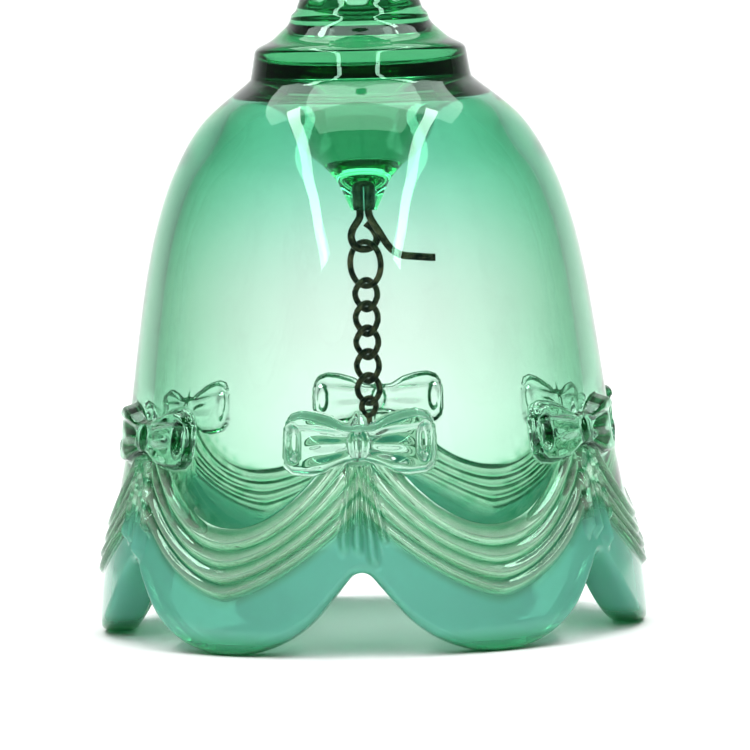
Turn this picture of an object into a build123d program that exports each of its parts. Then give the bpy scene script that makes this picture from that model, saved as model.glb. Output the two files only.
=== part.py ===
"""A pressed-glass hand bell with a bow-and-drape relief, and a chain clapper hung inside it.

Millimetres. +Z is up along the bell's axis, the origin is on that axis in the plane the six
scallops stand on, and one bow faces -Y.
"""

import os
from math import cos, pi, radians, sin

from build123d import *

os.makedirs("parts", exist_ok=True)

# ---- driving dimensions -------------------------------------------------------------------
HEIGHT = 114.0  # standing height, rim to finial
BODY_HEIGHT = 72.0  # rim plane to the underside of the collar
MOUTH_RADIUS = 35.8  # outside, just above the rim
FOOT_WIDTH = 3.8  # flat that each scallop stands on
SECTORS = 6  # bows, drapes and scallops round the rim
SECTOR_ANGLE = 360 / SECTORS
FIRST_BOW = -90  # degrees from +X, so a bow faces -Y

# scallops
NOTCH_HEIGHT = 11.5  # corner of the notch before it is rounded
NOTCH_HALF_WIDTH = 10.0
NOTCH_TOP_RADIUS = 2.0
SCALLOP_RADIUS = 16.5
FOOT_DROP = 0.12  # how far the scallop curve runs below the rim plane, which leaves a flat foot

# drape folds
FOLD_RADIUS = 1.0
FOLD_COUNT = 4
FOLD_PITCH = 1.9
LOWEST_FOLD = 7.75  # height of the lowest fold at the middle of a drape
FOLD_RISE = 12.3  # from the middle of a drape up to the bow
FOLD_REACH = 0.95  # share of the way to the bow at which a fold ends, under the pleats

# bows, knots and the pleats gathered below them
BOW_HEIGHT = 26.8  # centre of the knot above the rim
BOW_HALF_SPAN = 9.4
BOW_END_HALF_HEIGHT = 3.9
BOW_KNOT_HALF_HEIGHT = 2.2
BOW_PROUD = 1.8
BOW_ROOT = 0.8  # how far a bow is sunk into the wall
KNOT_RADIUS = 1.5
KNOT_LENGTH = 5.7
KNOT_OVER_BOW = 0.5
PLEAT_SHARES = (-1, -1 / 3, 1 / 3, 1)  # of the spread on each side of the knot
PLEAT_TOP = 24.0
PLEAT_END = 13.5
PLEAT_TOP_SPREAD = 2.3  # degrees round the bell
PLEAT_END_SPREAD = 8.0
PLEAT_TOP_RADIUS = 0.7
PLEAT_END_RADIUS = 1.15

# handle flutes
FLUTE_COUNT = 8
FLUTE_RADIUS = 4.2
FLUTE_DEPTH_RADIUS = 6.9  # distance from the axis to the bottom of a flute

# clapper hook, a wire doubled over with one end left as a tail and the other curled to an eye
NUB_TIP = 54.6  # lower end of the glass nub that holds the hook
HOOK_WIRE = 1.0
HOOK_TOP = 58.4  # where the doubled wire starts its bend inside the glass
STRAND_GAP = 1.1  # between the centres of the two strands
STRAND_Y = -0.15
STRAND_STEM_END = 55.2  # below this the two strands spread
EYE_BOTTOM = 49.35  # centre of the wire that the ring hangs on
TAIL_REACH = 9.2

# chain of curb links and the bead pin
LINK_WIRE = 0.8
LINK_LENGTH = 4.8
LINK_WIDTH = 3.7
LINK_TWIST = 45  # degrees from the middle of a link to each of its ends
LINK_COUNT = 5
LINK_PATH_STEPS = 12
LINK_PLAY = 0.06  # gap left between two wires that bear on each other
RING_PLAY = 0.1
RING_DIAMETER = 5.9  # to the wire's centreline, as is the pin eye's
PIN_EYE_DIAMETER = 2.5
PIN_WIRE = 0.8
PIN_STOP_RADIUS = 0.85  # headed end that carries the bead

# bead
BEAD_LENGTH = 11.0
BEAD_RADIUS = 3.6
BEAD_BORE_RADIUS = 0.45
BEAD_NECK_RADIUS = 1.1
BEAD_TOP_GAP = 0.6  # from the pin's eye down to the bead
BEAD_STOP_GAP = 0.05

# ---- shared curves ------------------------------------------------------------------------
# (radius, height) up the outside of the wall, from just above the rim to the collar
OUTER_WALL = [
    (MOUTH_RADIUS, 3.4),
    (35.2, 9.0),
    (33.6, 16.0),
    (32.2, 23.0),
    (31.1, 30.5),
    (29.9, 39.0),
    (28.7, 46.5),
    (27.1, 53.5),
    (24.7, 60.2),
    (21.0, 66.4),
    (14.5, BODY_HEIGHT),
]
# the same up the inside, to the edge of the glass nub that holds the hook
INNER_WALL = [
    (30.9, 1.0),
    (29.9, 7.0),
    (29.4, 14.5),
    (29.0, 22.5),
    (28.3, 30.5),
    (27.3, 39.0),
    (26.2, 46.5),
    (24.6, 53.5),
    (22.1, 59.8),
    (18.4, 65.2),
    (15.6, 68.0),
    (13.4, 69.1),
]
wall_curve = Spline(*[(r, 0, z) for r, z in OUTER_WALL])


def wall_radius(height):
    """Outside radius of the plain wall at a height, by bisection along its curve."""
    low, high = 0.0, 1.0
    for _ in range(40):
        middle = (low + high) / 2
        if (wall_curve @ middle).Z < height:
            low = middle
        else:
            high = middle
    return (wall_curve @ low).X


def on_wall(angle, height, proud=0.0):
    """A point that stands proud of the wall at an angle in degrees from the bow."""
    r = wall_radius(height) + proud
    a = radians(FIRST_BOW + angle)
    return (r * cos(a), r * sin(a), height)


# ---- glass bell: wall, collar, fluted handle and relief in one pressing --------------------
with BuildPart() as plain_bell:
    with BuildSketch(Plane.XZ):
        with BuildLine():
            inside = Spline(*INNER_WALL)
            nub_side = Spline(
                inside @ 1,
                (11.2, 66.8),
                (8.0, 63.8),
                (4.8, 60.4),
                (2.2, NUB_TIP),
                tangents=[(-0.85, -0.5), (-0.3, -0.95)],
            )
            Line(nub_side @ 1, (0, NUB_TIP))
            Line((0, NUB_TIP), (0, HEIGHT))
            finial = Spline(
                (0, HEIGHT),
                (5.6, HEIGHT - 1.1),
                (8.0, HEIGHT - 4.6),
                (5.4, HEIGHT - 8.2),
                tangents=[(1, 0), (-0.4, -0.9)],
            )
            stem = Spline(
                finial @ 1,
                (6.3, 103.0),
                (8.2, 97.6),
                (6.6, 91.2),
                (6.0, 87.6),
                (8.3, 81.0),
                tangents=[(0.5, -0.86), (0.35, -0.94)],
            )
            Line(stem @ 1, (8.9, 80.4))
            cove = Spline(
                (8.9, 80.4),
                (10.4, 78.2),
                (13.1, 76.4),
                tangents=[(0.15, -1), (1, -0.35)],
            )
            Line(cove @ 1, (13.8, 75.6))
            Line((13.8, 75.6), (14.4, 72.3))
            Line((14.4, 72.3), OUTER_WALL[-1])
            Spline(*OUTER_WALL)
            foot_outside = ThreePointArc(
                OUTER_WALL[0], (MOUTH_RADIUS - 0.3, 1.5), (MOUTH_RADIUS - 0.9, 0)
            )
            foot = Line(foot_outside @ 1, (MOUTH_RADIUS - 0.9 - FOOT_WIDTH, 0))
            Line(foot @ 1, INNER_WALL[0])
        make_face()
    revolve(axis=Axis.Z)

with BuildPart() as flutes:
    with BuildSketch(Plane.XY.offset(82.2)):
        with PolarLocations(FLUTE_DEPTH_RADIUS + FLUTE_RADIUS, FLUTE_COUNT, 360 / FLUTE_COUNT / 2):
            Circle(FLUTE_RADIUS)
    extrude(amount=22)

with BuildPart() as scallops:
    with BuildSketch(Plane.XZ):
        with BuildLine():
            rim_curve = FilletPolyline(
                (-20, -FOOT_DROP),
                (-NOTCH_HALF_WIDTH, -FOOT_DROP),
                (0, NOTCH_HEIGHT),
                (NOTCH_HALF_WIDTH, -FOOT_DROP),
                (20, -FOOT_DROP),
                radius=[SCALLOP_RADIUS, NOTCH_TOP_RADIUS, SCALLOP_RADIUS],
            )
            Polyline(rim_curve @ 1, (20, -3), (-20, -3), rim_curve @ 0)
        make_face()
    extrude(amount=MOUTH_RADIUS + 5)

# ---- relief of one sector, which is copied round the wall -----------------------------------
def drape_point(share, fold_number):
    """A point of a fold's ridge line, from one bow (share -1) to the next (share 1)."""
    height = LOWEST_FOLD + FOLD_PITCH * fold_number + FOLD_RISE * share**2
    return on_wall(SECTOR_ANGLE / 2 * (1 + share), height)


folds = []
for fold_number in range(FOLD_COUNT):
    with BuildPart() as fold:
        with BuildLine() as ridge:
            Spline(*[drape_point(FOLD_REACH * step / 2, fold_number) for step in range(-2, 3)])
        with BuildSketch(Plane(origin=ridge.line @ 0, z_dir=ridge.line % 0)):
            Circle(FOLD_RADIUS)
        sweep()
    folds.append(fold.part)

# a strip that follows the wall and stands proud of it, which the bow's outline is cut from
strip_heights = [BOW_HEIGHT + step for step in (-7, -3, 1, 5, 7)]
with BuildPart() as bow_strip:
    with BuildSketch(Plane.XZ):
        with BuildLine():
            strip_inside = Spline(*[(wall_radius(z) - BOW_ROOT, z) for z in strip_heights])
            strip_outside = Spline(*[(wall_radius(z) + BOW_PROUD, z) for z in strip_heights])
            Line(strip_inside @ 0, strip_outside @ 0)
            Line(strip_inside @ 1, strip_outside @ 1)
        make_face()
    revolve(axis=Axis.Z)

with BuildPart() as bow_loops:
    with BuildSketch(Plane.XZ.offset(MOUTH_RADIUS - 10)):
        for side in (-1, 1):
            with BuildLine():
                loop_edge = FilletPolyline(
                    (0, BOW_HEIGHT + BOW_KNOT_HALF_HEIGHT),
                    (side * BOW_HALF_SPAN * 0.6, BOW_HEIGHT + BOW_END_HALF_HEIGHT),
                    (side * BOW_HALF_SPAN, BOW_HEIGHT + BOW_END_HALF_HEIGHT - 0.6),
                    (side * BOW_HALF_SPAN, BOW_HEIGHT - BOW_END_HALF_HEIGHT),
                    (0, BOW_HEIGHT - BOW_KNOT_HALF_HEIGHT),
                    radius=[2.0, 1.5, 1.0],
                )
                Line(loop_edge @ 1, loop_edge @ 0)
            make_face()
    extrude(amount=12)
    add(bow_strip.part, mode=Mode.INTERSECT)

with BuildPart() as knot:
    half_length = KNOT_LENGTH / 2 - KNOT_RADIUS
    knot_proud = BOW_PROUD + KNOT_OVER_BOW - KNOT_RADIUS
    with BuildLine() as knot_axis:
        Line(
            on_wall(0, BOW_HEIGHT - half_length, knot_proud),
            on_wall(0, BOW_HEIGHT + half_length, knot_proud),
        )
    with BuildSketch(Plane(origin=knot_axis.line @ 0, z_dir=knot_axis.line % 0)):
        Circle(KNOT_RADIUS)
    sweep()
    with Locations(knot_axis.line @ 0, knot_axis.line @ 1):
        Sphere(KNOT_RADIUS)

# pleats that fan out of the knot towards the top of the notch
pleats = []
for share in PLEAT_SHARES:
    pleat_top = Vector(*on_wall(share * PLEAT_TOP_SPREAD, PLEAT_TOP, 0.4))
    pleat_end = Vector(*on_wall(share * PLEAT_END_SPREAD, PLEAT_END - 1.5 * abs(share)))
    with BuildPart() as pleat:
        with Locations(Plane(origin=pleat_top, z_dir=pleat_end - pleat_top)):
            Cone(
                PLEAT_TOP_RADIUS,
                PLEAT_END_RADIUS,
                (pleat_end - pleat_top).length,
                align=(Align.CENTER, Align.CENTER, Align.MIN),
            )
        with Locations(pleat_end):
            Sphere(PLEAT_END_RADIUS)
    pleats.append(pleat.part)

# ---- clapper hook: one wire doubled over inside the glass ------------------------------------
with BuildPart() as clapper_hook:
    with BuildLine() as hook_line:
        tail = Spline(
            (TAIL_REACH, STRAND_Y, 48.1),
            (6.3, STRAND_Y, 48.3),
            (4.5, STRAND_Y, 48.6),
            (3.2, STRAND_Y, 49.6),
            (1.8, STRAND_Y, 51.9),
            (0.72, STRAND_Y, 53.9),
            (STRAND_GAP / 2, STRAND_Y, STRAND_STEM_END),
            tangents=[(-1, 0, 0), (0, 0, 1)],
        )
        tail_stem = Line(tail @ 1, (STRAND_GAP / 2, STRAND_Y, HOOK_TOP))
        bend = ThreePointArc(
            tail_stem @ 1,
            (0, STRAND_Y, HOOK_TOP + STRAND_GAP / 2),
            (-STRAND_GAP / 2, STRAND_Y, HOOK_TOP),
        )
        eye_stem = Line(bend @ 1, (-STRAND_GAP / 2, STRAND_Y, STRAND_STEM_END))
        Spline(
            eye_stem @ 1,
            (-0.6, STRAND_Y, 53.8),
            (-1.35, -0.2, 52.5),
            (-1.75, -0.33, 51.0),
            (-1.2, -0.45, 49.75),
            (0, 0, EYE_BOTTOM),
            (1.1, 0.6, 49.8),
            (1.55, 1.0, 50.9),
            (1.0, 1.1, 52.1),
            (0.1, 1.1, 52.95),
            tangents=[(0, 0, -1), (-0.75, 0, 0.65)],
        )
    with BuildSketch(Plane(origin=tail @ 0, z_dir=tail % 0)):
        Circle(HOOK_WIRE / 2)
    sweep()

# ---- one glass pressing: wall, collar, fluted handle, relief and scalloped rim ---------------
with BuildPart() as glass_bell:
    add(plain_bell.part)
    add(flutes.part, mode=Mode.SUBTRACT)
    for piece in (bow_loops.part, *folds, knot.part, *pleats):
        with PolarLocations(0, SECTORS, 0):
            add(piece)
    with PolarLocations(0, SECTORS, 0):
        add(scallops.part, mode=Mode.SUBTRACT)
    add(clapper_hook.part, mode=Mode.SUBTRACT)

# ---- chain -----------------------------------------------------------------------------------
end_radius = (LINK_WIDTH - LINK_WIRE) / 2
link_reach = (LINK_LENGTH - LINK_WIRE) / 2  # from a link's centre to the centre of its end wire
half_side = link_reach - end_radius


def link_point(share):
    """A point on half of a curb link, a twisted stadium, from side to side over one end."""
    length = 2 * half_side + pi * end_radius
    run = share * length
    if run < half_side:
        across, along = end_radius, run
    elif run > length - half_side:
        across, along = -end_radius, length - run
    else:
        turn = (run - half_side) / end_radius
        across, along = end_radius * cos(turn), half_side + end_radius * sin(turn)
    twist = radians(LINK_TWIST) * sin(pi / 2 * along / link_reach)
    return (across * cos(twist), across * sin(twist), along)


side_slope = end_radius * radians(LINK_TWIST) * pi / 2 / link_reach
with BuildPart() as curb_link:
    with BuildLine() as half_link:
        Spline(
            *[link_point(step / LINK_PATH_STEPS) for step in range(LINK_PATH_STEPS + 1)],
            tangents=[(0, side_slope, 1), (0, side_slope, -1)],
        )
    with BuildSketch(Plane(origin=half_link.line @ 0, z_dir=half_link.line % 0)):
        Circle(LINK_WIRE / 2)
    sweep()
    add(curb_link.part, rotation=(0, 180, 0))

ring_centre = EYE_BOTTOM + (HOOK_WIRE + LINK_WIRE) / 2 + RING_PLAY - RING_DIAMETER / 2
with BuildPart() as top_ring:
    with Locations(Plane(origin=(0, 0, ring_centre), z_dir=(1, 1, 0))):
        Torus(RING_DIAMETER / 2, LINK_WIRE / 2)

link_rise = LINK_WIRE + LINK_PLAY  # from a wire up to the wire that hangs on it
first_link = ring_centre - RING_DIAMETER / 2 + link_rise - link_reach
link_pitch = 2 * link_reach - link_rise
chain_links = []
for number in range(LINK_COUNT):
    with BuildPart() as chain_link:
        with Locations((0, 0, first_link - number * link_pitch)):
            add(curb_link.part)
    chain_link.part.label = f"chain_link_{number + 1}"
    chain_links.append(chain_link.part)

# ---- bead and the headed pin it hangs on -----------------------------------------------------
pin_eye_top = first_link - (LINK_COUNT - 1) * link_pitch - link_reach + link_rise
pin_eye_bottom = pin_eye_top - PIN_EYE_DIAMETER
bead_top = pin_eye_bottom - PIN_WIRE / 2 - BEAD_TOP_GAP
bead_bottom = bead_top - BEAD_LENGTH
pin_stop = bead_bottom - BEAD_STOP_GAP - PIN_STOP_RADIUS

with BuildPart() as clapper_pin:
    with Locations(Plane(origin=(0, 0, pin_eye_top - PIN_EYE_DIAMETER / 2), z_dir=(1, -1, 0))):
        Torus(PIN_EYE_DIAMETER / 2, PIN_WIRE / 2)
    with BuildSketch(Plane.XY.offset(pin_stop)):
        Circle(PIN_WIRE / 2)
    extrude(amount=pin_eye_bottom - pin_stop)
    with Locations((0, 0, pin_stop)):
        Sphere(PIN_STOP_RADIUS)

with BuildPart() as clapper_bead:
    with BuildSketch(Plane.XZ):
        with BuildLine():
            Polyline(
                (BEAD_BORE_RADIUS, bead_bottom),
                (BEAD_BORE_RADIUS, bead_top),
                (BEAD_NECK_RADIUS, bead_top),
            )
            Spline(
                (BEAD_NECK_RADIUS, bead_top),
                (BEAD_RADIUS * 0.62, bead_top - BEAD_LENGTH * 0.3),
                (BEAD_RADIUS, bead_top - BEAD_LENGTH * 0.68),
                (BEAD_NECK_RADIUS, bead_bottom),
                tangents=[(0.35, -1), (-1, -0.12)],
            )
            Line((BEAD_NECK_RADIUS, bead_bottom), (BEAD_BORE_RADIUS, bead_bottom))
        make_face()
    revolve(axis=Axis.Z)

# ---- export ----------------------------------------------------------------------------------
glass_bell.part.label = "glass_bell"
export_step(glass_bell.part, "parts/glass_bell.step")
clapper_hook.part.label = "clapper_hook"
export_step(clapper_hook.part, "parts/clapper_hook.step")
top_ring.part.label = "top_ring"
export_step(top_ring.part, "parts/top_ring.step")
for part in chain_links:
    export_step(part, f"parts/{part.label}.step")
clapper_pin.part.label = "clapper_pin"
export_step(clapper_pin.part, "parts/clapper_pin.step")
clapper_bead.part.label = "clapper_bead"
export_step(clapper_bead.part, "parts/clapper_bead.step")
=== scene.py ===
"""A pressed-glass hand bell with a bow-and-drape relief, milky scallops and a chain clapper.

Metres, in the frame of the CAD model: +Z up the bell's axis, the feet at z = 0, one bow facing -Y.
Shapes are worked out in millimetres and turned into metres where a mesh is made.
"""

from math import atan, cos, pi, radians, sin, tan

import bpy
import numpy as np
from mathutils import Matrix, Vector


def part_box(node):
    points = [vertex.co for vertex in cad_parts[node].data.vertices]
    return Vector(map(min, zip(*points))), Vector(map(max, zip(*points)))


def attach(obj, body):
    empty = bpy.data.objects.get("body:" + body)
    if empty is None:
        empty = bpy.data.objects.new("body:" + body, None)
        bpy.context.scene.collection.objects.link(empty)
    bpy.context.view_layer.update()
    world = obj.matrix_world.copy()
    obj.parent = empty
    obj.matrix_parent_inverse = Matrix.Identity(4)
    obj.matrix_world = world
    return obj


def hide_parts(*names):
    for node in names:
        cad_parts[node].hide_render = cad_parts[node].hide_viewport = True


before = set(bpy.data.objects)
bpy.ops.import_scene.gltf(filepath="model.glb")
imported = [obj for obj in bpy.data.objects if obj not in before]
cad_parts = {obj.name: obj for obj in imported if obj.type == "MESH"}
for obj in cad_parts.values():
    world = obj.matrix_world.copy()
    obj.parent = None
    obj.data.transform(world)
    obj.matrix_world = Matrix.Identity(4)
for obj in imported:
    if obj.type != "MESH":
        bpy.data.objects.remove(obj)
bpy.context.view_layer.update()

MM = 0.001

# ---- sizes, in millimetres ------------------------------------------------------------------
HEIGHT = (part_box("glass_bell")[1] / MM)[2]
MOUTH_RADIUS = 35.8
SECTOR = 60.0  # degrees from one bow to the next
FIRST_BOW = -90.0  # degrees round from +X

# the wall and the handle, as (radius, height)
HANDLE = [(0, HEIGHT), (2.9, HEIGHT - 0.25), (5.6, HEIGHT - 1.1), (7.5, HEIGHT - 2.8), (8.0, HEIGHT - 4.6)]
HANDLE += [(7.2, HEIGHT - 6.6), (5.4, HEIGHT - 8.2), (5.2, HEIGHT - 9.4), (6.3, HEIGHT - 11.0)]
HANDLE += [(8.2, 97.6), (6.6, 91.2), (6.0, 87.6), (8.3, 81.0)]
COLLAR_COVE = [(8.9, 80.4), (9.3, 79.3), (10.4, 78.2), (11.7, 77.1), (13.1, 76.4)]
SHOULDER = (14.5, 72.0)
COLLAR_EDGE = [(13.45, 76.15), (13.72, 75.85), (13.85, 75.45)]
COLLAR_FOOT = [(14.3, 72.75), (14.38, 72.4), SHOULDER]
OUTER_WALL = [SHOULDER, (21.0, 66.4), (24.7, 60.2), (27.1, 53.5), (28.7, 46.5), (29.9, 39.0)]
OUTER_WALL += [(31.1, 30.5), (32.2, 23.0), (33.6, 16.0), (35.2, 9.0), (MOUTH_RADIUS, 3.4), (35.9, 0.0)]
INNER_WALL = [(31.0, 0.0), (29.9, 7.0), (29.4, 14.5), (29.0, 22.5), (28.3, 30.5), (27.3, 39.0)]
INNER_WALL += [(26.2, 46.5), (24.6, 53.5), (22.1, 59.8), (18.4, 65.2), (15.6, 68.2), (13.6, 69.2)]
UPPER_OUTSIDE = OUTER_WALL[:7]  # the wall down to the relief
UPPER_INSIDE = INNER_WALL[5:]
NUB = [(13.6, 69.2), (11.2, 66.5), (8.0, 63.7), (5.2, 61.2), (3.4, 58.6), (2.3, 56.2), (1.7, 54.8)]

# handle flutes
FLUTE_COUNT = 8
FLUTE_RADIUS = 4.2
FLUTE_CENTRE = 11.1
FLUTE_SPAN = (82.2, 104.2)
FLUTE_FADE = (0.4, 2.2)  # they run out from this far outside their span to this far inside it

# scallops
RIM_RADIUS = 34.2  # where the widths across a notch are measured
NOTCH_HEIGHT = 11.5
NOTCH_HALF_WIDTH = 10.0
NOTCH_TOP_RADIUS = 2.0
SCALLOP_RADIUS = 16.5
FOOT_DROP = 0.12  # the lobes' arcs go this far below the feet, so that each stands on a short flat
EDGE_ROUNDING = 1.35
EDGE_SQUARENESS = 0.75  # the power of its curve; 1 would be an ellipse

# relief
RELIEF_TOP = 32.5  # the wall is plain above this
FOLD_EDGES = [7.4, 9.2, 11.2, 13.3, 15.7]  # heights of the folds' edges halfway between two bows
FOLD_RISES = [11.0, 11.6, 12.4, 13.5, 14.8]  # how much higher they meet the bow's gather
FOLD_BENDS = [1.5, 1.6, 1.75, 1.9, 2.0]  # powers of their curves
FOLD_PROUD = 0.62
FOLD_ROOT = 0.15  # how proud the valleys between folds are
FOLD_LEAN = 0.85  # powers of a fold's section
FOLD_ROUNDNESS = 0.8
FOLD_GROWTH = (0.10, 2.1)  # how fold heights differ: size, and step from fold to fold
FOLD_WAVER = (0.07, 9, 2.3)  # and along a fold: size, waves, and step from fold to fold
BED_FADE = (0.25, 0.1)  # the bed under the folds starts this far outside the drape and ends inside it
DRAPE_END = (0.80, 0.94)  # share of the way to the bow where the folds sink under the gather
DRAPE_END_DROP = 0.6
BOW_HEIGHT = 26.8
BOW_TOP = [(0, 2.1), (2.0, 2.3), (3.6, 3.3), (5.4, 3.85), (7.2, 4.1), (8.5, 3.7), (9.2, 2.6), (9.7, 0.4)]
BOW_BOTTOM = [(0, 2.3), (1.7, 2.6), (2.8, 3.1), (4.2, 3.8), (6.3, 3.95), (8.4, 3.75), (9.3, 2.9), (9.7, 1.2)]
BOW_PROUD = 1.8  # at the crown of its loops
BOW_EDGE = 0.75  # how far in its edge is rounded
PILLOW = (1.2, 0.5, 0.9, 0.5)  # its crown: base, swell, how far out the swell peaks, fall to the edges
FLAP = (0.20, 1.45, 0.09, 0.16)  # the upper fold: size, height, climb outwards, softness
FAN = (0.16, 3.0)  # pleats beside the knot: size and count
FAN_START = (1.0, 3.0)  # distances from the knot between which they fade in and out
FAN_END = (4.5, 6.8)
LOOP_MOUTH = (8.1, 0.2)  # from the knot, round the wall and up
LOOP_MOUTH_SIZE = (0.95, 2.7)
KNOT_HALF_WIDTH = 1.35
KNOT_HALF_LENGTH = 2.25
KNOT_PROUD = 2.1
KNOT_CREASE = (0.30, 0.16)  # depth and half width
GATHER_TOP = 24.6
GATHER_FADE = (23.9, 24.9)  # heights between which it goes under the knot
GATHER_END = 12.2
GATHER_TIP = (1.6, 1.3, 2.7, 3.0)  # tips: rise to the sides, unevenness, step from tip to tip, rounding
GATHER_TIP_FADE = (0.4, 1.6)
GATHER_SPREAD = (2.3, 6.6)  # degrees each side of the bow, at the top and at the end
GATHER_LEAN = 1.2  # degrees that its end stands to one side
GATHER_PLEATS = 4
GATHER_PROUD = 1.5

# glass colours, with painted highlight and shade, and where they start and end, in millimetres
# painted highlight, pale, on the drape's fold crests, and painted shade, deeper green, in the valleys
# between them
CREST_HIGHLIGHT_COLOUR = (0.88, 0.99, 0.87)
VALLEY_SHADE_COLOUR = (0.34, 0.74, 0.50)
CREST_HIGHLIGHT_EDGE = (0.05, 0.5)  # how high up a fold its painted highlight starts and is full
DRAPE_MILK = 0.40
VALLEY_MILK = 0.25  # the share of it in the drape's valleys
FOOT_CLEARNESS = 0.45
FOOT_CLEAR_TOP = (0.5, 3.2)
MILKY_TRANSMISSION = 0.45
MILK_COLOUR = (0.20, 0.62, 0.50)
FOOT_COLOUR = (0.04, 0.50, 0.21)
SHOULDER_COLOUR = (0.52, 0.90, 0.80)
SLANT_SHADE_COLOUR = (0.34, 0.70, 0.50)  # painted shade: deeper green where the surface turns away from the eye
VOLUME_COLOUR = (0.0, 0.62, 0.30)
VOLUME_DENSITY = 95.0
LOBE_EDGE = (-1.8, 1.4)  # about the drape's lowest edge
LOBE_TOP = (13, 22)
DRAPE_EDGE = (-0.4, 0.6)  # about the drape's highest edge
DRAPE_TOP = (22, 26)
FOOT_TOP = (0.2, 3.4)
SHOULDER_RISE = (40, 70)
SHOULDER_END = (71, 74)

# mesh
FINE_COLUMNS = 720  # in the relief
COARSE_COLUMNS = 360  # elsewhere
RELIEF_RINGS = 165
EDGE_RINGS = 15
INSIDE_RINGS = 24

# camera, stage and light, in metres and degrees
CAMERA_DISTANCE = 0.75
CAMERA_AZIMUTH = 2.5
CAMERA_HEIGHT = 0.0886
CAMERA_AIM = (0.0009, 0, 0.0330)
CAMERA_ROLL = -1.4
CAMERA_LENS = 275.0
FLOOR_FRONT = -1.2
FLOOR_BACK = 0.55
FLOOR_HALF_WIDTH = 1.6
BACKDROP_BEND = 0.30
BACKDROP_TOP = 1.5
WORLD_STRENGTH = 0.18
BACK_POWER = 4.6
FLOOR_POWER = 1.8
STRIP_HIGH = (0.25, 0.18, 0.63)  # the right-hand strip light's ends
STRIP_LOW = (0.25, -0.72, 0.32)
STRIP_AIM = (0, 0, 0.06)
STRIP_SIZE = (0.05, 0.95)
STRIP_POWER = 2.2


# ---- small maths ----------------------------------------------------------------------------
def step(low, high, value):
    """0 below low, 1 above high and smooth between."""
    t = np.clip((value - low) / (high - low), 0, 1)
    return t * t * (3 - 2 * t)


def curve_through(points, spacing):
    """Points about a spacing apart on a Catmull-Rom curve through the given (radius, height)s."""
    p = np.array(points, float)
    p = np.vstack([2 * p[0] - p[1], p, 2 * p[-1] - p[-2]])
    out = []
    for a, b, c, d in zip(p, p[1:], p[2:], p[3:]):
        count = max(2, round(np.linalg.norm(c - b) / spacing))
        t1 = np.linalg.norm(b - a) ** 0.5
        t2 = t1 + np.linalg.norm(c - b) ** 0.5
        t3 = t2 + np.linalg.norm(d - c) ** 0.5
        for t in np.linspace(t1, t2, count, endpoint=False):
            ab = a + (b - a) * t / t1
            bc = b + (c - b) * (t - t1) / (t2 - t1)
            cd = c + (d - c) * (t - t2) / (t3 - t2)
            left = ab + (bc - ab) * t / t2
            right = bc + (cd - bc) * (t - t1) / (t3 - t1)
            out.append(left + (right - left) * (t - t1) / (t2 - t1))
    out.append(p[-2])
    return np.array(out)


OUTER_CURVE = curve_through(OUTER_WALL, 0.3)
INNER_CURVE = curve_through(INNER_WALL, 0.3)


def outer_radius(z):
    """Radius of the plain wall outside, at a height."""
    return np.interp(-z, -OUTER_CURVE[:, 1], OUTER_CURVE[:, 0])


def inner_radius(z):
    """Radius of the wall inside, at a height."""
    return np.interp(z, INNER_CURVE[:, 1], INNER_CURVE[:, 0])


def from_bow(angle):
    """Degrees from the nearest bow, between -30 and 30."""
    return (angle - FIRST_BOW + SECTOR / 2) % SECTOR - SECTOR / 2


# ---- the relief as heights proud of the wall -------------------------------------------------
def rim_height(angle):
    """Height of the scalloped rim over the feet: a round notch top, straight sides and round lobes."""
    x = np.abs(RIM_RADIUS * np.sin(np.radians(from_bow(angle))))
    slope = atan((NOTCH_HEIGHT + FOOT_DROP) / NOTCH_HALF_WIDTH)
    apex = NOTCH_HEIGHT - NOTCH_TOP_RADIUS / cos(slope)
    run = SCALLOP_RADIUS * tan(slope / 2)
    notch = apex + np.sqrt(np.maximum(NOTCH_TOP_RADIUS**2 - x**2, 0))
    side = NOTCH_HEIGHT - x * tan(slope)
    lobe_x = NOTCH_HALF_WIDTH + run
    from_lobe = np.minimum(lobe_x - x, SCALLOP_RADIUS)
    lobe = SCALLOP_RADIUS - FOOT_DROP - np.sqrt(SCALLOP_RADIUS**2 - from_lobe**2)
    z = np.where(x < NOTCH_TOP_RADIUS * sin(slope), notch, side)
    z = np.where(x > NOTCH_HALF_WIDTH - run * cos(slope), lobe, z)
    z = np.where(x > lobe_x, -FOOT_DROP, z)
    return np.maximum(z, 0)


def ridge(t):
    """A rounded fold between 0 and 1, a little steeper on its low side."""
    t = np.clip(t, 0, 1) ** FOLD_LEAN
    return (0.5 - 0.5 * np.cos(2 * pi * t)) ** FOLD_ROUNDNESS


def between_bows(bow_angle):
    """0 halfway between two bows and -1 at a bow."""
    return (np.abs(bow_angle) - SECTOR / 2) / (SECTOR / 2)


def fold_edge(number, across):
    """Height of an edge between two folds."""
    return FOLD_EDGES[number] + FOLD_RISES[number] * np.abs(across) ** FOLD_BENDS[number]


def drape_crests(bow_angle, z):
    """1 along the crest of each fold, 0 in the valleys and outside the drape."""
    across = between_bows(bow_angle)
    grown, fold_step = FOLD_GROWTH
    waver, waves, wave_step = FOLD_WAVER
    crests = np.zeros(np.broadcast(bow_angle, z).shape)
    for number in range(len(FOLD_EDGES) - 1):
        low, high = fold_edge(number, across), fold_edge(number + 1, across)
        growth = grown * sin(fold_step * number)
        swell = 1 + growth + waver * np.sin(waves * across + wave_step * number)
        crests = np.maximum(crests, ridge((z - low) / (high - low)) * swell)
    return crests


def drape_height(bow_angle, z):
    """The folds, on a low bed that fades in and out at the drape's two edges."""
    across = between_bows(bow_angle)
    outer, inner = BED_FADE
    inside = step(-outer, inner, z - fold_edge(0, across))
    inside = inside * (1 - step(-inner, outer, z - fold_edge(-1, across)))
    height = FOLD_ROOT * inside + FOLD_PROUD * drape_crests(bow_angle, z)
    return height * (1 - DRAPE_END_DROP * step(*DRAPE_END, np.abs(across)))


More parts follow.
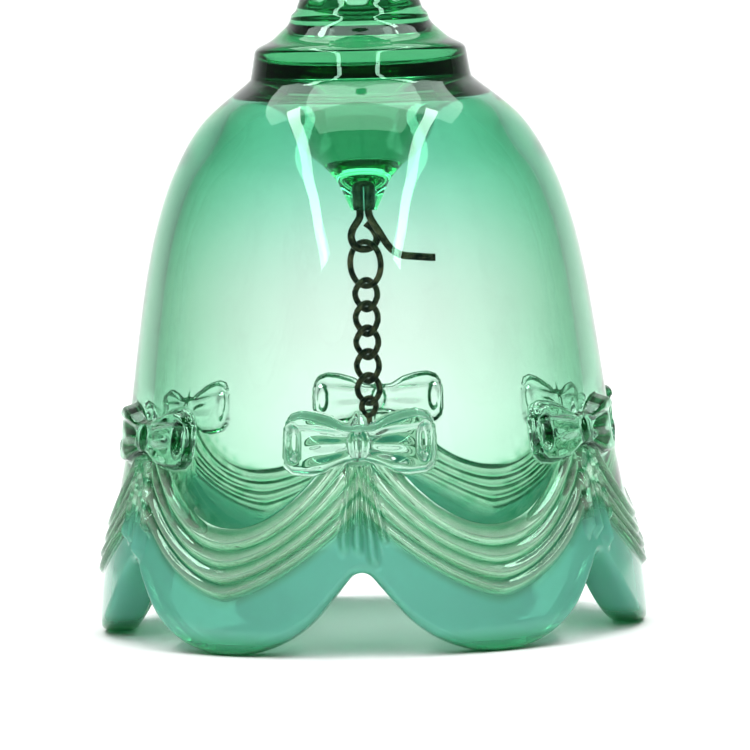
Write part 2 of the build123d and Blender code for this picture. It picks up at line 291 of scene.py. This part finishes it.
def bow_height(x, z):
    """Two loops with dished ends; x is in millimetres round the wall from the knot."""
    side = np.abs(x)
    rise = z - BOW_HEIGHT
    top = np.interp(side, *zip(*BOW_TOP))
    bottom = np.interp(side, *zip(*BOW_BOTTOM))
    up = np.where(rise > 0, rise / top, rise / bottom)
    reach = BOW_TOP[-1][0]
    edge = np.minimum(np.minimum(top - rise, bottom + rise), reach - side)
    body = step(0, BOW_EDGE, edge)
    share = np.clip(side / reach, 0, 1)
    base, swell, peak, fall = PILLOW
    pillow = base + swell * np.sin(share * pi * peak) * (1 - fall * up**2)
    size, height, climb, softness = FLAP
    flap = size * np.tanh((rise - height - climb * side) / softness)
    size, count = FAN
    fan = size * np.cos(up * pi * count) * step(*FAN_START, side) * (1 - step(*FAN_END, side))
    out = (side - LOOP_MOUTH[0]) / LOOP_MOUTH_SIZE[0]
    along = (rise - LOOP_MOUTH[1]) / LOOP_MOUTH_SIZE[1]
    mouth = 1 - step(0.5, 1.0, np.hypot(out, along))
    return body * (BOW_PROUD / (base + swell) * pillow + flap + fan - mouth)


def knot_height(x, z):
    """An oval button with a crease down its middle."""
    away = np.hypot(x / KNOT_HALF_WIDTH, (z - BOW_HEIGHT) / KNOT_HALF_LENGTH)
    depth, half_width = KNOT_CREASE
    crease = depth * np.exp(-((x / half_width) ** 2)) * (away < 1)
    return KNOT_PROUD * np.sqrt(np.maximum(1 - away**3, 0)) - crease


def gather_height(bow_angle, z):
    """Pleats that fan out below the knot and end in rounded tips."""
    t = np.clip((GATHER_TOP - z) / (GATHER_TOP - GATHER_END), 0, 1.3)
    narrow, wide = GATHER_SPREAD
    spread = narrow + (wide - narrow) * t
    v = (bow_angle - GATHER_LEAN * t) / spread
    phase = (v + 1) / 2 * GATHER_PLEATS
    number = np.clip(np.floor(phase), 0, GATHER_PLEATS - 1)
    rise, uneven, tip_step, rounding = GATHER_TIP
    tip = GATHER_END + rise * v**2 + uneven * np.sin(tip_step * number)
    tip = tip + rounding * np.abs(phase - number - 0.5) ** 2
    below, above = GATHER_TIP_FADE
    inside = (np.abs(v) < 1) * step(tip - below, tip + above, z)
    inside = inside * (1 - step(*GATHER_FADE, z))
    return GATHER_PROUD * ridge(phase - number) * inside


def relief(angle, z):
    """How proud of the plain wall the glass stands, whichever layer is highest."""
    bow_angle = from_bow(angle)
    x = np.radians(bow_angle) * outer_radius(z)
    layers = [drape_height(bow_angle, z), gather_height(bow_angle, z), bow_height(x, z), knot_height(x, z)]
    return np.maximum.reduce(layers)


def lobe_share(angle, z):
    """1 in the lobes below the drape, 0 above the drape's lowest edge."""
    across = between_bows(from_bow(angle))
    return (1 - step(*LOBE_EDGE, z - fold_edge(0, across))) * (1 - step(*LOBE_TOP, z))


def drape_share(angle, z):
    """1 from the drape down, 0 above its highest edge."""
    across = between_bows(from_bow(angle))
    return (1 - step(*DRAPE_EDGE, z - fold_edge(-1, across))) * (1 - step(*DRAPE_TOP, z))


def milkiness(angle, z):
    """How opalescent the glass is: most in the lobes but for their feet, a little in the drape."""
    lobe = lobe_share(angle, z) * (1 - FOOT_CLEARNESS * (1 - step(*FOOT_CLEAR_TOP, z)))
    crests = VALLEY_MILK + (1 - VALLEY_MILK) * drape_crests(from_bow(angle), z)
    return np.maximum(lobe, DRAPE_MILK * drape_share(angle, z) * crests)


def glass_colour_and_fold_shading(angle, z):
    """Clear in the wall, painted shade in the drape's valleys and a painted highlight on its fold crests,
    aqua in the lobes, deeper at the shoulder and the feet.
    """
    colour = np.ones((len(z), 3))
    crests = np.minimum(drape_crests(from_bow(angle), z), 1)
    layers = [
        # painted shade in the drape's valleys, then a painted highlight on its fold crests
        (VALLEY_SHADE_COLOUR, drape_share(angle, z)),
        (CREST_HIGHLIGHT_COLOUR, drape_share(angle, z) * step(*CREST_HIGHLIGHT_EDGE, crests)),
        (MILK_COLOUR, lobe_share(angle, z)),
        (FOOT_COLOUR, 1 - step(*FOOT_TOP, z)),
    ]
    for over, share in layers:
        colour += (np.array(over) - colour) * share[:, None]
    high = step(*SHOULDER_RISE, z) * (1 - step(*SHOULDER_END, z))
    return colour * (1 + (np.array(SHOULDER_COLOUR) - 1) * high[:, None])


# ---- meshes ---------------------------------------------------------------------------------
def ring_faces(first_a, count_a, first_b, count_b):
    """Faces between two rings of vertices, of the same count or one with twice the other's."""
    if count_a == count_b:
        j = np.arange(count_a)
        k = (j + 1) % count_a
        return [(first_a + j0, first_b + j0, first_b + k0, first_a + k0) for j0, k0 in zip(j, k)]
    faces = []
    for j in range(min(count_a, count_b)):
        k = (j + 1) % min(count_a, count_b)
        if count_a > count_b:
            a0, a1, a2 = 2 * j, 2 * j + 1, (2 * j + 2) % count_a
            faces.append((first_a + a0, first_b + j, first_a + a1))
            faces.append((first_a + a1, first_b + j, first_b + k, first_a + a2))
        else:
            b0, b1, b2 = 2 * j, 2 * j + 1, (2 * j + 2) % count_b
            faces.append((first_a + j, first_b + b0, first_b + b1))
            faces.append((first_a + j, first_b + b1, first_b + b2, first_a + k))
    return faces


def ring_at(angles, radius, z):
    """A ring of points at the given angles; radius and z are numbers or one number for each angle."""
    a = np.radians(angles)
    return np.column_stack([radius * np.cos(a), radius * np.sin(a), np.broadcast_to(z, a.shape)])


def mesh_object(name, points, faces, body):
    """A mesh from points in millimetres, riding on a body."""
    mesh = bpy.data.meshes.new(name)
    mesh.from_pydata([tuple(p) for p in np.asarray(points) * MM], [], faces)
    mesh.shade_smooth()
    mesh.validate()
    obj = bpy.data.objects.new(name, mesh)
    bpy.context.scene.collection.objects.link(obj)
    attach(obj, body)
    return obj


def fluted(angles, radius, z):
    """The handle's radius where the flutes are cut into it."""
    spacing = 360 / FLUTE_COUNT
    away = np.radians((angles % spacing) - spacing / 2)
    side = FLUTE_CENTRE * np.sin(away)
    cut = FLUTE_CENTRE * np.cos(away) - np.sqrt(np.maximum(FLUTE_RADIUS**2 - side**2, 0))
    depth = np.where(np.abs(side) < FLUTE_RADIUS, np.maximum(radius - cut, 0), 0)
    low, high = FLUTE_SPAN
    outside, inside = FLUTE_FADE
    depth = depth * step(low - outside, low + inside, z)
    return radius - depth * (1 - step(high - inside, high + outside, z))


def glass_bell():
    """The whole pressing as one closed mesh, made of rings from the knob down and back up inside."""
    fine = np.arange(FINE_COLUMNS) * 360 / FINE_COLUMNS
    coarse = np.arange(COARSE_COLUMNS) * 360 / COARSE_COLUMNS
    outline = np.vstack([
        curve_through(HANDLE, 0.6)[1:],
        curve_through(COLLAR_COVE, 0.4),
        curve_through(COLLAR_EDGE, 0.15),
        curve_through(COLLAR_FOOT, 0.15),
    ])
    rings = [ring_at(coarse, fluted(coarse, radius, z), z) for radius, z in outline]
    for radius, z in curve_through(UPPER_OUTSIDE, 0.9)[1:]:
        if z > RELIEF_TOP + 0.5:
            rings.append(ring_at(coarse, radius, z))

    # down through the relief to the edge, round the edge, and up to where the inside is level
    edge = rim_height(fine)
    top = edge + EDGE_ROUNDING
    for share in np.linspace(0, 1, RELIEF_RINGS):
        z = RELIEF_TOP + (top - RELIEF_TOP) * share
        rings.append(ring_at(fine, outer_radius(z) + relief(fine, z), z))
    outside = outer_radius(top) + relief(fine, top)
    inside = inner_radius(top)
    middle, half = (outside + inside) / 2, (outside - inside) / 2
    for turn in np.linspace(0, pi, EDGE_RINGS)[1:]:
        across = np.sign(cos(turn)) * abs(cos(turn)) ** EDGE_SQUARENESS
        z = edge + EDGE_ROUNDING * (1 - abs(sin(turn)) ** EDGE_SQUARENESS)
        rings.append(ring_at(fine, middle + half * across, z))
    for share in np.linspace(0, 1, INSIDE_RINGS)[1:]:
        z = top + (RELIEF_TOP - top) * share
        rings.append(ring_at(fine, inner_radius(z), z))
    ceiling = np.vstack([curve_through(UPPER_INSIDE, 0.9), curve_through(NUB, 0.6)[1:]])
    rings += [ring_at(coarse, radius, z) for radius, z in ceiling]

    # close the knob's top and the nub's tip with one point each
    first = 1
    count = len(rings[0])
    faces = [(0, first + j, first + (j + 1) % count) for j in range(count)]
    for ring, after in zip(rings, rings[1:]):
        faces += ring_faces(first, len(ring), first + len(ring), len(after))
        first += len(ring)
    count = len(rings[-1])
    last = first + count
    faces += [(last, first + (j + 1) % count, first + j) for j in range(count)]
    points = np.vstack([[[0, 0, HEIGHT]]] + rings + [[[0, 0, NUB[-1][1] - 0.1]]])
    obj = mesh_object("glass_bell_pressing", points, faces, "bell")
    angles = np.degrees(np.arctan2(points[:, 1], points[:, 0]))
    milky = obj.data.attributes.new("milky", "FLOAT", "POINT")
    milky.data.foreach_set("value", milkiness(angles, points[:, 2]).astype(np.float32))
    colour = obj.data.attributes.new("glass_colour_and_fold_shading", "FLOAT_COLOR", "POINT")
    rgba = np.column_stack([glass_colour_and_fold_shading(angles, points[:, 2]), np.ones(len(points))])
    colour.data.foreach_set("color", rgba.astype(np.float32).ravel())
    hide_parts("glass_bell")
    return obj


# ---- materials ------------------------------------------------------------------------------
def new_material(name):
    """A material, with its Principled shader."""
    material = bpy.data.materials.new(name)
    material.use_nodes = True
    return material, material.node_tree.nodes["Principled BSDF"]


def green_glass():
    """Glass coloured in depth, with the milkiness and colour the mesh carries, that colour holding painted
    highlight and shade on the folds, and with painted shade, deeper green, where it slants.
    """
    material, shader = new_material("green_opalescent_glass")
    tree = material.node_tree
    shader.inputs["IOR"].default_value = 1.5
    shader.inputs["Roughness"].default_value = 0.02
    shader.inputs["Transmission Weight"].default_value = 1.0  # less where the mesh is milky, below
    shader.inputs["Specular Tint"].default_value = (0.50, 0.92, 0.70, 1)
    milky = tree.nodes.new("ShaderNodeAttribute")
    milky.attribute_name = "milky"
    clear = tree.nodes.new("ShaderNodeMapRange")
    clear.inputs["To Min"].default_value = 1.0
    clear.inputs["To Max"].default_value = MILKY_TRANSMISSION
    tree.links.new(milky.outputs["Fac"], clear.inputs["Value"])
    tree.links.new(clear.outputs["Result"], shader.inputs["Transmission Weight"])
    # the mesh's colour, which holds the painted highlight and shade on the drape's folds
    own = tree.nodes.new("ShaderNodeAttribute")
    own.attribute_name = "glass_colour_and_fold_shading"
    # painted shade: the colour is pulled towards a deeper green where the surface faces away from the eye,
    # less where the glass is milky
    slant_shade = tree.nodes.new("ShaderNodeLayerWeight")
    slant_shade.inputs["Blend"].default_value = 0.66
    colour = tree.nodes.new("ShaderNodeMix")
    colour.data_type = "RGBA"
    colour.blend_type = "MULTIPLY"
    colour.inputs["B"].default_value = (*SLANT_SHADE_COLOUR, 1)
    tree.links.new(own.outputs["Color"], colour.inputs["A"])
    slant_shade_share = tree.nodes.new("ShaderNodeMath")
    slant_shade_share.operation = "MULTIPLY"
    tree.links.new(slant_shade.outputs["Facing"], slant_shade_share.inputs[0])
    tree.links.new(clear.outputs["Result"], slant_shade_share.inputs[1])
    tree.links.new(slant_shade_share.outputs["Value"], colour.inputs["Factor"])
    tree.links.new(colour.outputs["Result"], shader.inputs["Base Color"])
    absorb = tree.nodes.new("ShaderNodeVolumeAbsorption")
    absorb.inputs["Color"].default_value = (*VOLUME_COLOUR, 1)
    absorb.inputs["Density"].default_value = VOLUME_DENSITY
    output = tree.nodes["Material Output"]
    tree.links.new(absorb.outputs["Volume"], output.inputs["Volume"])
    return material


def dark_wire():
    """Wire gone dark, with worn brown patches that are a little rougher."""
    material, shader = new_material("dark_oxidised_wire")
    tree = material.node_tree
    shader.inputs["Metallic"].default_value = 1.0
    noise = tree.nodes.new("ShaderNodeTexNoise")
    noise.inputs["Scale"].default_value = 900.0
    noise.inputs["Detail"].default_value = 6.0
    place = tree.nodes.new("ShaderNodeTexCoord")
    tree.links.new(place.outputs["Object"], noise.inputs["Vector"])
    ramp = tree.nodes.new("ShaderNodeValToRGB")
    stops = [(0.35, (0.012, 0.012, 0.009, 1)), (0.72, (0.17, 0.13, 0.075, 1))]
    for element, (position, colour) in zip(ramp.color_ramp.elements, stops):
        element.position = position
        element.color = colour
    tree.links.new(noise.outputs["Fac"], ramp.inputs["Fac"])
    tree.links.new(ramp.outputs["Color"], shader.inputs["Base Color"])
    rough = tree.nodes.new("ShaderNodeMapRange")
    rough.inputs["To Min"].default_value = 0.28
    rough.inputs["To Max"].default_value = 0.55
    tree.links.new(noise.outputs["Fac"], rough.inputs["Value"])
    tree.links.new(rough.outputs["Result"], shader.inputs["Roughness"])
    return material


def bead_glass():
    """Clear glass with a faint tint."""
    material, shader = new_material("clear_bead_glass")
    shader.inputs["IOR"].default_value = 1.5
    shader.inputs["Roughness"].default_value = 0.03
    shader.inputs["Transmission Weight"].default_value = 1.0
    shader.inputs["Base Color"].default_value = (0.93, 0.98, 0.96, 1)
    return material


# ---- the scene ------------------------------------------------------------------------------
def make_camera():
    """A long lens from a little right of the front bow, and a little above."""
    camera = bpy.data.objects.new("camera", bpy.data.cameras.new("camera"))
    bpy.context.scene.collection.objects.link(camera)
    azimuth = radians(CAMERA_AZIMUTH)
    place = Vector((CAMERA_DISTANCE * sin(azimuth), -CAMERA_DISTANCE * cos(azimuth), CAMERA_HEIGHT))
    turn = (Vector(CAMERA_AIM) - place).to_track_quat("-Z", "Y").to_matrix().to_4x4()
    roll = Matrix.Rotation(radians(CAMERA_ROLL), 4, "Z")
    camera.matrix_world = Matrix.Translation(place) @ turn @ roll
    camera.data.sensor_width = 36
    camera.data.lens = CAMERA_LENS
    camera.data.clip_start = 0.01
    bpy.context.scene.camera = camera


def make_stage():
    """A pale floor that curves up into a backdrop."""
    profile = [(FLOOR_FRONT, 0)]
    for turn in np.linspace(0, pi / 2, 17):
        profile.append((FLOOR_BACK + BACKDROP_BEND * sin(turn), BACKDROP_BEND * (1 - cos(turn))))
    profile.append((FLOOR_BACK + BACKDROP_BEND, BACKDROP_TOP))
    points = [(x, y, z) for y, z in profile for x in (-FLOOR_HALF_WIDTH, FLOOR_HALF_WIDTH)]
    faces = [(2 * i, 2 * i + 1, 2 * i + 3, 2 * i + 2) for i in range(len(profile) - 1)]
    mesh = bpy.data.meshes.new("floor")
    mesh.from_pydata(points, [], faces)
    mesh.shade_smooth()
    floor = bpy.data.objects.new("floor", mesh)
    bpy.context.scene.collection.objects.link(floor)
    material, shader = new_material("pale_floor")
    shader.inputs["Base Color"].default_value = (0.92, 0.92, 0.92, 1)
    shader.inputs["Roughness"].default_value = 0.8
    mesh.materials.append(material)


def area_light(name, place, target, size, power):
    """A rectangular light at a place, facing a target."""
    data = bpy.data.lights.new(name, "AREA")
    data.shape = "RECTANGLE"
    data.size, data.size_y = size
    data.energy = power
    light = bpy.data.objects.new(name, data)
    bpy.context.scene.collection.objects.link(light)
    light.location = place
    light.rotation_euler = (Vector(target) - Vector(place)).to_track_quat("-Z", "Y").to_euler()
    return light


def make_lights():
    """Soft light from above, and two strips that draw the two long highlights on the dome."""
    world = bpy.data.worlds.new("studio")
    bpy.context.scene.world = world
    world.use_nodes = True
    background = world.node_tree.nodes["Background"]
    background.inputs["Color"].default_value = (0.8, 0.8, 0.8, 1)
    background.inputs["Strength"].default_value = WORLD_STRENGTH
    area_light("back_key", (0.0, 0.35, 0.75), (0, 0.5, 0), (0.9, 0.5), BACK_POWER)
    area_light("floor_key", (0.0, 0.02, 0.62), (0, 0.02, 0), (0.4, 0.4), FLOOR_POWER)
    for name, side in (("strip_left", -1), ("strip_right", 1)):
        high, low = (Vector((end[0] * side, *end[1:])) for end in (STRIP_HIGH, STRIP_LOW))
        strip = area_light(name, (high + low) / 2, STRIP_AIM, STRIP_SIZE, STRIP_POWER)
        # turned about its facing direction, so that its length runs from high to low
        facing = Vector(STRIP_AIM) - strip.location
        along = (high - low).normalized()
        back = -(facing - along * facing.dot(along)).normalized()
        strip.rotation_euler = Matrix((along.cross(back), along, back)).transposed().to_euler()


make_camera()
make_stage()
make_lights()
bpy.context.scene.view_settings.view_transform = "Standard"
# light inside thick glass turns black when its path is cut short
for kind, bounces in (("max", 32), ("glossy", 20), ("transmission", 28)):
    setattr(bpy.context.scene.cycles, f"{kind}_bounces", bounces)

bell = glass_bell()
bell.data.materials.append(green_glass())
wire = dark_wire()
for name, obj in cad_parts.items():
    if name == "glass_bell":
        continue
    obj.data.materials.clear()
    obj.data.materials.append(bead_glass() if name == "clapper_bead" else wire)
